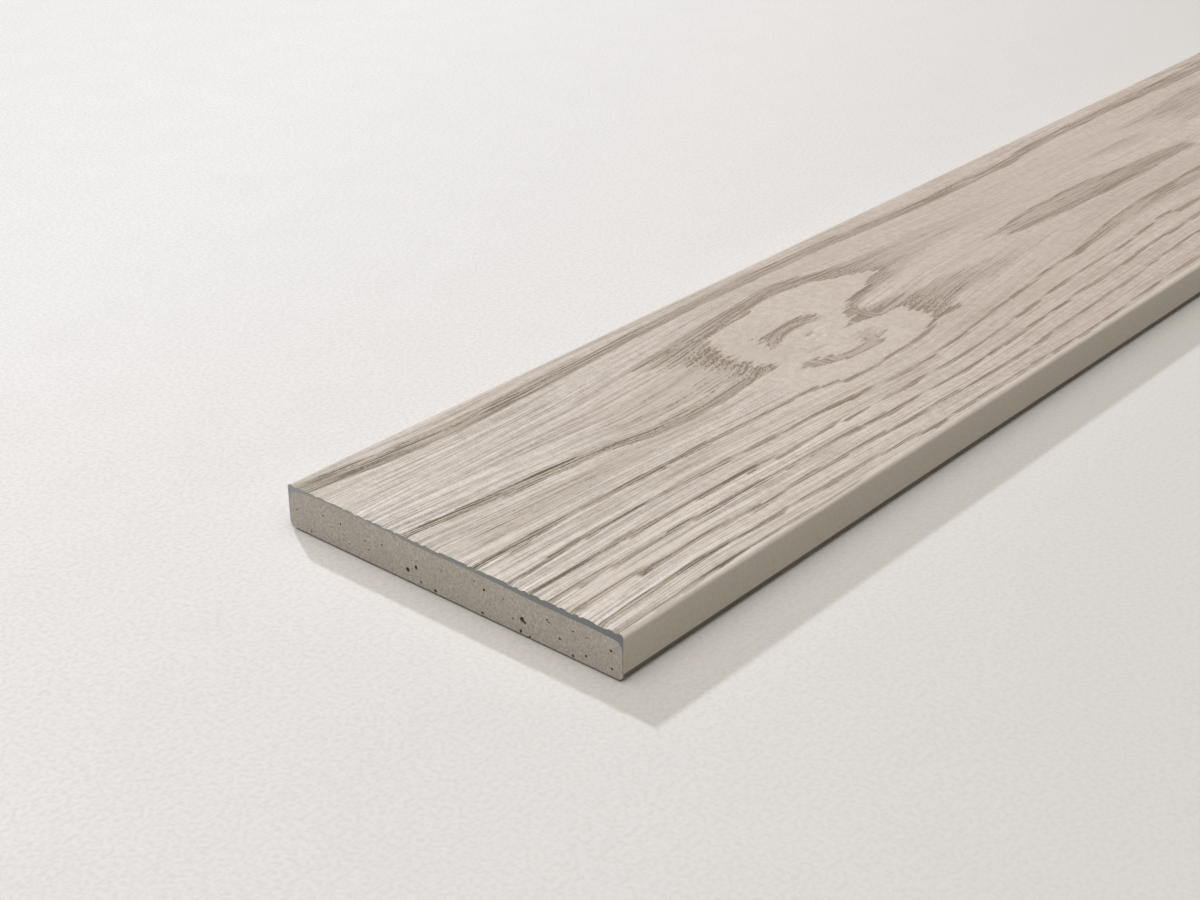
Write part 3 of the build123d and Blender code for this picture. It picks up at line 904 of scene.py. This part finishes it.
def coreSheet(places, normals, centres, kinds):  # both ends, the back, and what the skin hides
    x, y, z = places.T
    u = strip(x / boardLength + 0.5, 0.01, 0.99)
    back = 0.9 * y / halfWidth + 0.1 * np.sign(y) * z / hemHeight
    hidden = 0.8 * y / halfWidth + 0.2 * np.sign(y) * (faceHeight - z) / (faceHeight - hemHeight)
    low = centres[:, 2] < hemHeight - 0.01 * mm
    v = np.where(low, strip(0.5 + 0.5 * back, 0.01, 0.3), strip(0.5 + 0.5 * hidden, 0.31, 0.36))
    for bottom, wanted in ((0.4, centres[:, 0] < 0), (0.62, centres[:, 0] > 0)):
        wanted = wanted & (kinds != 1)
        u = np.where(wanted, strip(y / (2 * halfWidth) + 0.5, 0.01, 0.99), u)
        v = np.where(wanted, strip(z / faceHeight, bottom, bottom + 0.2), v)
    return np.column_stack([u, v])


def finishCore(piece, bubbles):
    piece.data.materials.append(sawnResinMortar())
    piece.data.materials.append(castBack())
    for face in piece.data.polygons:
        face.material_index = 0 if abs(face.normal.x) > 0.5 else 1
    bubbles.data.materials.append(voidWall())
    bpy.ops.object.select_all(action="DESELECT")
    piece.select_set(True)
    bpy.context.view_layer.objects.active = piece
    cut = piece.modifiers.new("voids", "BOOLEAN")
    cut.operation = "DIFFERENCE"
    cut.solver = "EXACT"
    cut.use_self = True  # some bubbles run into each other
    cut.object = bubbles
    cut.material_mode = "TRANSFER"
    bpy.ops.object.modifier_apply(modifier=cut.name)
    bpy.data.objects.remove(bubbles)
    bpy.ops.object.mode_set(mode="EDIT")
    bpy.ops.mesh.select_all(action="SELECT")
    bpy.ops.mesh.quads_convert_to_tris()
    bpy.ops.object.mode_set(mode="OBJECT")
    bpy.ops.object.shade_smooth_by_angle(angle=math.radians(35))
    layBakeMap(piece, coreSheet)
    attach(piece, "root")
    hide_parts("resin_core")


corePiece = buildCore()
finishCore(corePiece, buildVoids())
print("core built", len(corePiece.data.polygons), "faces")

# The floor, the light and the camera
stageSet = {
    "floorSize": 60.0,
    "floorDrop": 0.7,  # mm under the board's back, as the bowed board lies in the photo
    "floorBright": (-0.42, 0.91),  # way that the painted light on the paper rises
    "floorFade": (-0.287, 0.28),  # metres that way from the near end, over which it does
    "floorCool": (0.76, 0.65),  # way that it gets a little bluer
    "floorEven": (0.9, 2.4),  # metres from the near end, over which the paper takes one even tone
    "keyFrom": (11.0, 21.6, 16.0),  # towards the lamp, from the shadow's offset in the photo
    "keySpread": 3.0,  # degrees, for the softness of the shadow
    "keyStrength": 1.6,
    "skyHigh": 1.98,
    "skyLow": 0.0,
    "skyFrom": (-0.5, -0.3, 0.78),  # the brighter side of the room
    "skyline": (0.4, 0.95),  # heights over the horizon between which the room's light rises
    "skyTurn": -0.1,  # where the sky is darkest: 1 is its brightest side, -1 the opposite one
}


def palePaper():
    # Matt pale paper under the board, with painted light: a little brighter away from the camera
    material, tree = newMaterial("palePaper")
    place = addNode(tree, "TexCoord").outputs["Object"]
    fromEnd = addNode(tree, "VectorMath ADD", {1: (halfLength, 0, 0)}, {0: place}).outputs[0]
    way = addNode(tree, "VectorMath DOT_PRODUCT", {1: (*stageSet["floorBright"], 0)},
                  {0: fromEnd}).outputs["Value"]
    low, high = stageSet["floorFade"]
    # painted light: a pool of light that brightens the paper away from the camera
    fade = addNode(tree, "MapRange", {"From Min": low, "From Max": high}, {0: way}).outputs[0]
    paper = addNode(tree, "Mix RGBA", {6: hexColour("#dbd8d5"), 7: hexColour("#fcfafa")},
                    {0: fade}).outputs[2]
    deep = addNode(tree, "VectorMath DOT_PRODUCT", {1: (*stageSet["floorCool"], 0)},
                   {0: fromEnd}).outputs["Value"]
    cool = addNode(tree, "MapRange", {"From Min": -0.05, "From Max": 0.3, "To Max": 0.45},
                   {0: deep}).outputs[0]
    cool = addNode(tree, "Math MULTIPLY", links={0: cool, 1: fade}).outputs[0]
    paper = addNode(tree, "Mix RGBA", {7: hexColour("#f9fbff")}, {0: cool, 6: paper}).outputs[2]
    off = addNode(tree, "VectorMath LENGTH", links={0: fromEnd}).outputs["Value"]
    low, high = stageSet["floorEven"]
    even = addNode(tree, "MapRange", {"From Min": low, "From Max": high}, {0: off}).outputs[0]
    paper = addNode(tree, "Mix RGBA", {7: hexColour("#efeceb")}, {0: even, 6: paper}).outputs[2]
    for size, code, share in ((28, "#cfccc8", 0.05), (1.6, "#c9c6c2", 0.3)):  # clouds and fibres, mm
        cloud = addNode(tree, "TexNoise", {"Scale": 1 / (size * mm), "Detail": 2.0}, {"Vector": place})
        fleck = addNode(tree, "MapRange", {"From Min": 0.4, "From Max": 0.7, "To Max": share},
                        {0: cloud.outputs[0]}).outputs[0]
        paper = addNode(tree, "Mix RGBA", {7: hexColour(code)}, {0: fleck, 6: paper}).outputs[2]
    finishMaterial(tree, {"Roughness": 0.9, "Specular IOR Level": 0.0}, {"Base Color": paper})
    return material


def buildStage():
    bpy.ops.object.select_all(action="DESELECT")
    bpy.ops.mesh.primitive_plane_add(size=stageSet["floorSize"], location=(0, 0, -stageSet["floorDrop"] * mm))
    floor = bpy.context.object
    floor.name = "floor"
    floor.data.materials.append(palePaper())

    lamp = bpy.data.lights.new("key", "SUN")
    lamp.energy = stageSet["keyStrength"]
    lamp.color = hexColour("#f0f4ff")[:3]
    lamp.angle = math.radians(stageSet["keySpread"])
    key = bpy.data.objects.new("key", lamp)
    key.rotation_mode = "QUATERNION"
    key.rotation_quaternion = Vector(stageSet["keyFrom"]).to_track_quat("Z", "Y")
    bpy.context.scene.collection.objects.link(key)

    world = bpy.data.worlds.new("softRoom")
    bpy.context.scene.world = world
    world.use_nodes = True
    tree = world.node_tree
    tree.nodes.clear()
    way = addNode(tree, "TexCoord").outputs["Generated"]
    towards = Vector(stageSet["skyFrom"]).normalized()
    facing = addNode(tree, "VectorMath DOT_PRODUCT", {1: towards}, {0: way}).outputs["Value"]
    level = addNode(tree, "MapRange", {"From Min": stageSet["skyTurn"], "From Max": 1.0,
                                       "To Min": stageSet["skyLow"], "To Max": stageSet["skyHigh"]},
                    {0: facing}).outputs[0]
    upwards = addNode(tree, "SeparateXYZ", links={0: way}).outputs["Z"]
    low = addNode(tree, "MapRange", {"From Min": stageSet["skyline"][0], "From Max": stageSet["skyline"][1]},
                  {0: upwards}).outputs[0]
    level = addNode(tree, "Math MULTIPLY", links={0: level, 1: low}).outputs[0]
    glow = addNode(tree, "Background", {"Color": hexColour("#fffbf4")}, {"Strength": level})
    pale = addNode(tree, "Background", {"Color": hexColour("#e6e3e1")})  # what shows behind the floor
    rays = addNode(tree, "LightPath").outputs
    seen = addNode(tree, "Math MAXIMUM",
                   links={0: rays["Is Camera Ray"], 1: rays["Is Glossy Ray"]}).outputs[0]
    seen = addNode(tree, "Math MAXIMUM", links={0: seen, 1: rays["Is Transmission Ray"]}).outputs[0]
    room = addNode(tree, "MixShader", links={0: seen, 1: glow.outputs[0], 2: pale.outputs[0]})
    addNode(tree, "OutputWorld", links={"Surface": room.outputs[0]})


camera = {
    "place": (-370.6, -379.0, 322.1),  # mm from the near end's bottom middle
    "yaw": 40.36,  # degrees, from the board's length towards its left edge
    "pitch": 27.05,  # degrees down
    "lens": 58.48,  # mm on a 36 mm sensor
}


def buildCamera():
    data = bpy.data.cameras.new("camera")
    data.lens = camera["lens"]
    data.sensor_width = 36
    data.clip_start = 0.01
    eye = bpy.data.objects.new("camera", data)
    x, y, z = camera["place"]
    eye.location = (-halfLength + x * mm, y * mm, z * mm)
    yaw = math.radians(camera["yaw"])
    pitch = math.radians(camera["pitch"])
    look = Vector((math.cos(yaw) * math.cos(pitch), math.sin(yaw) * math.cos(pitch), -math.sin(pitch)))
    eye.rotation_mode = "QUATERNION"
    eye.rotation_quaternion = look.to_track_quat("-Z", "Y")
    bpy.context.scene.collection.objects.link(eye)
    bpy.context.scene.camera = eye


buildStage()
buildCamera()
bpy.context.scene.view_settings.view_transform = "Standard"
print("stage set")
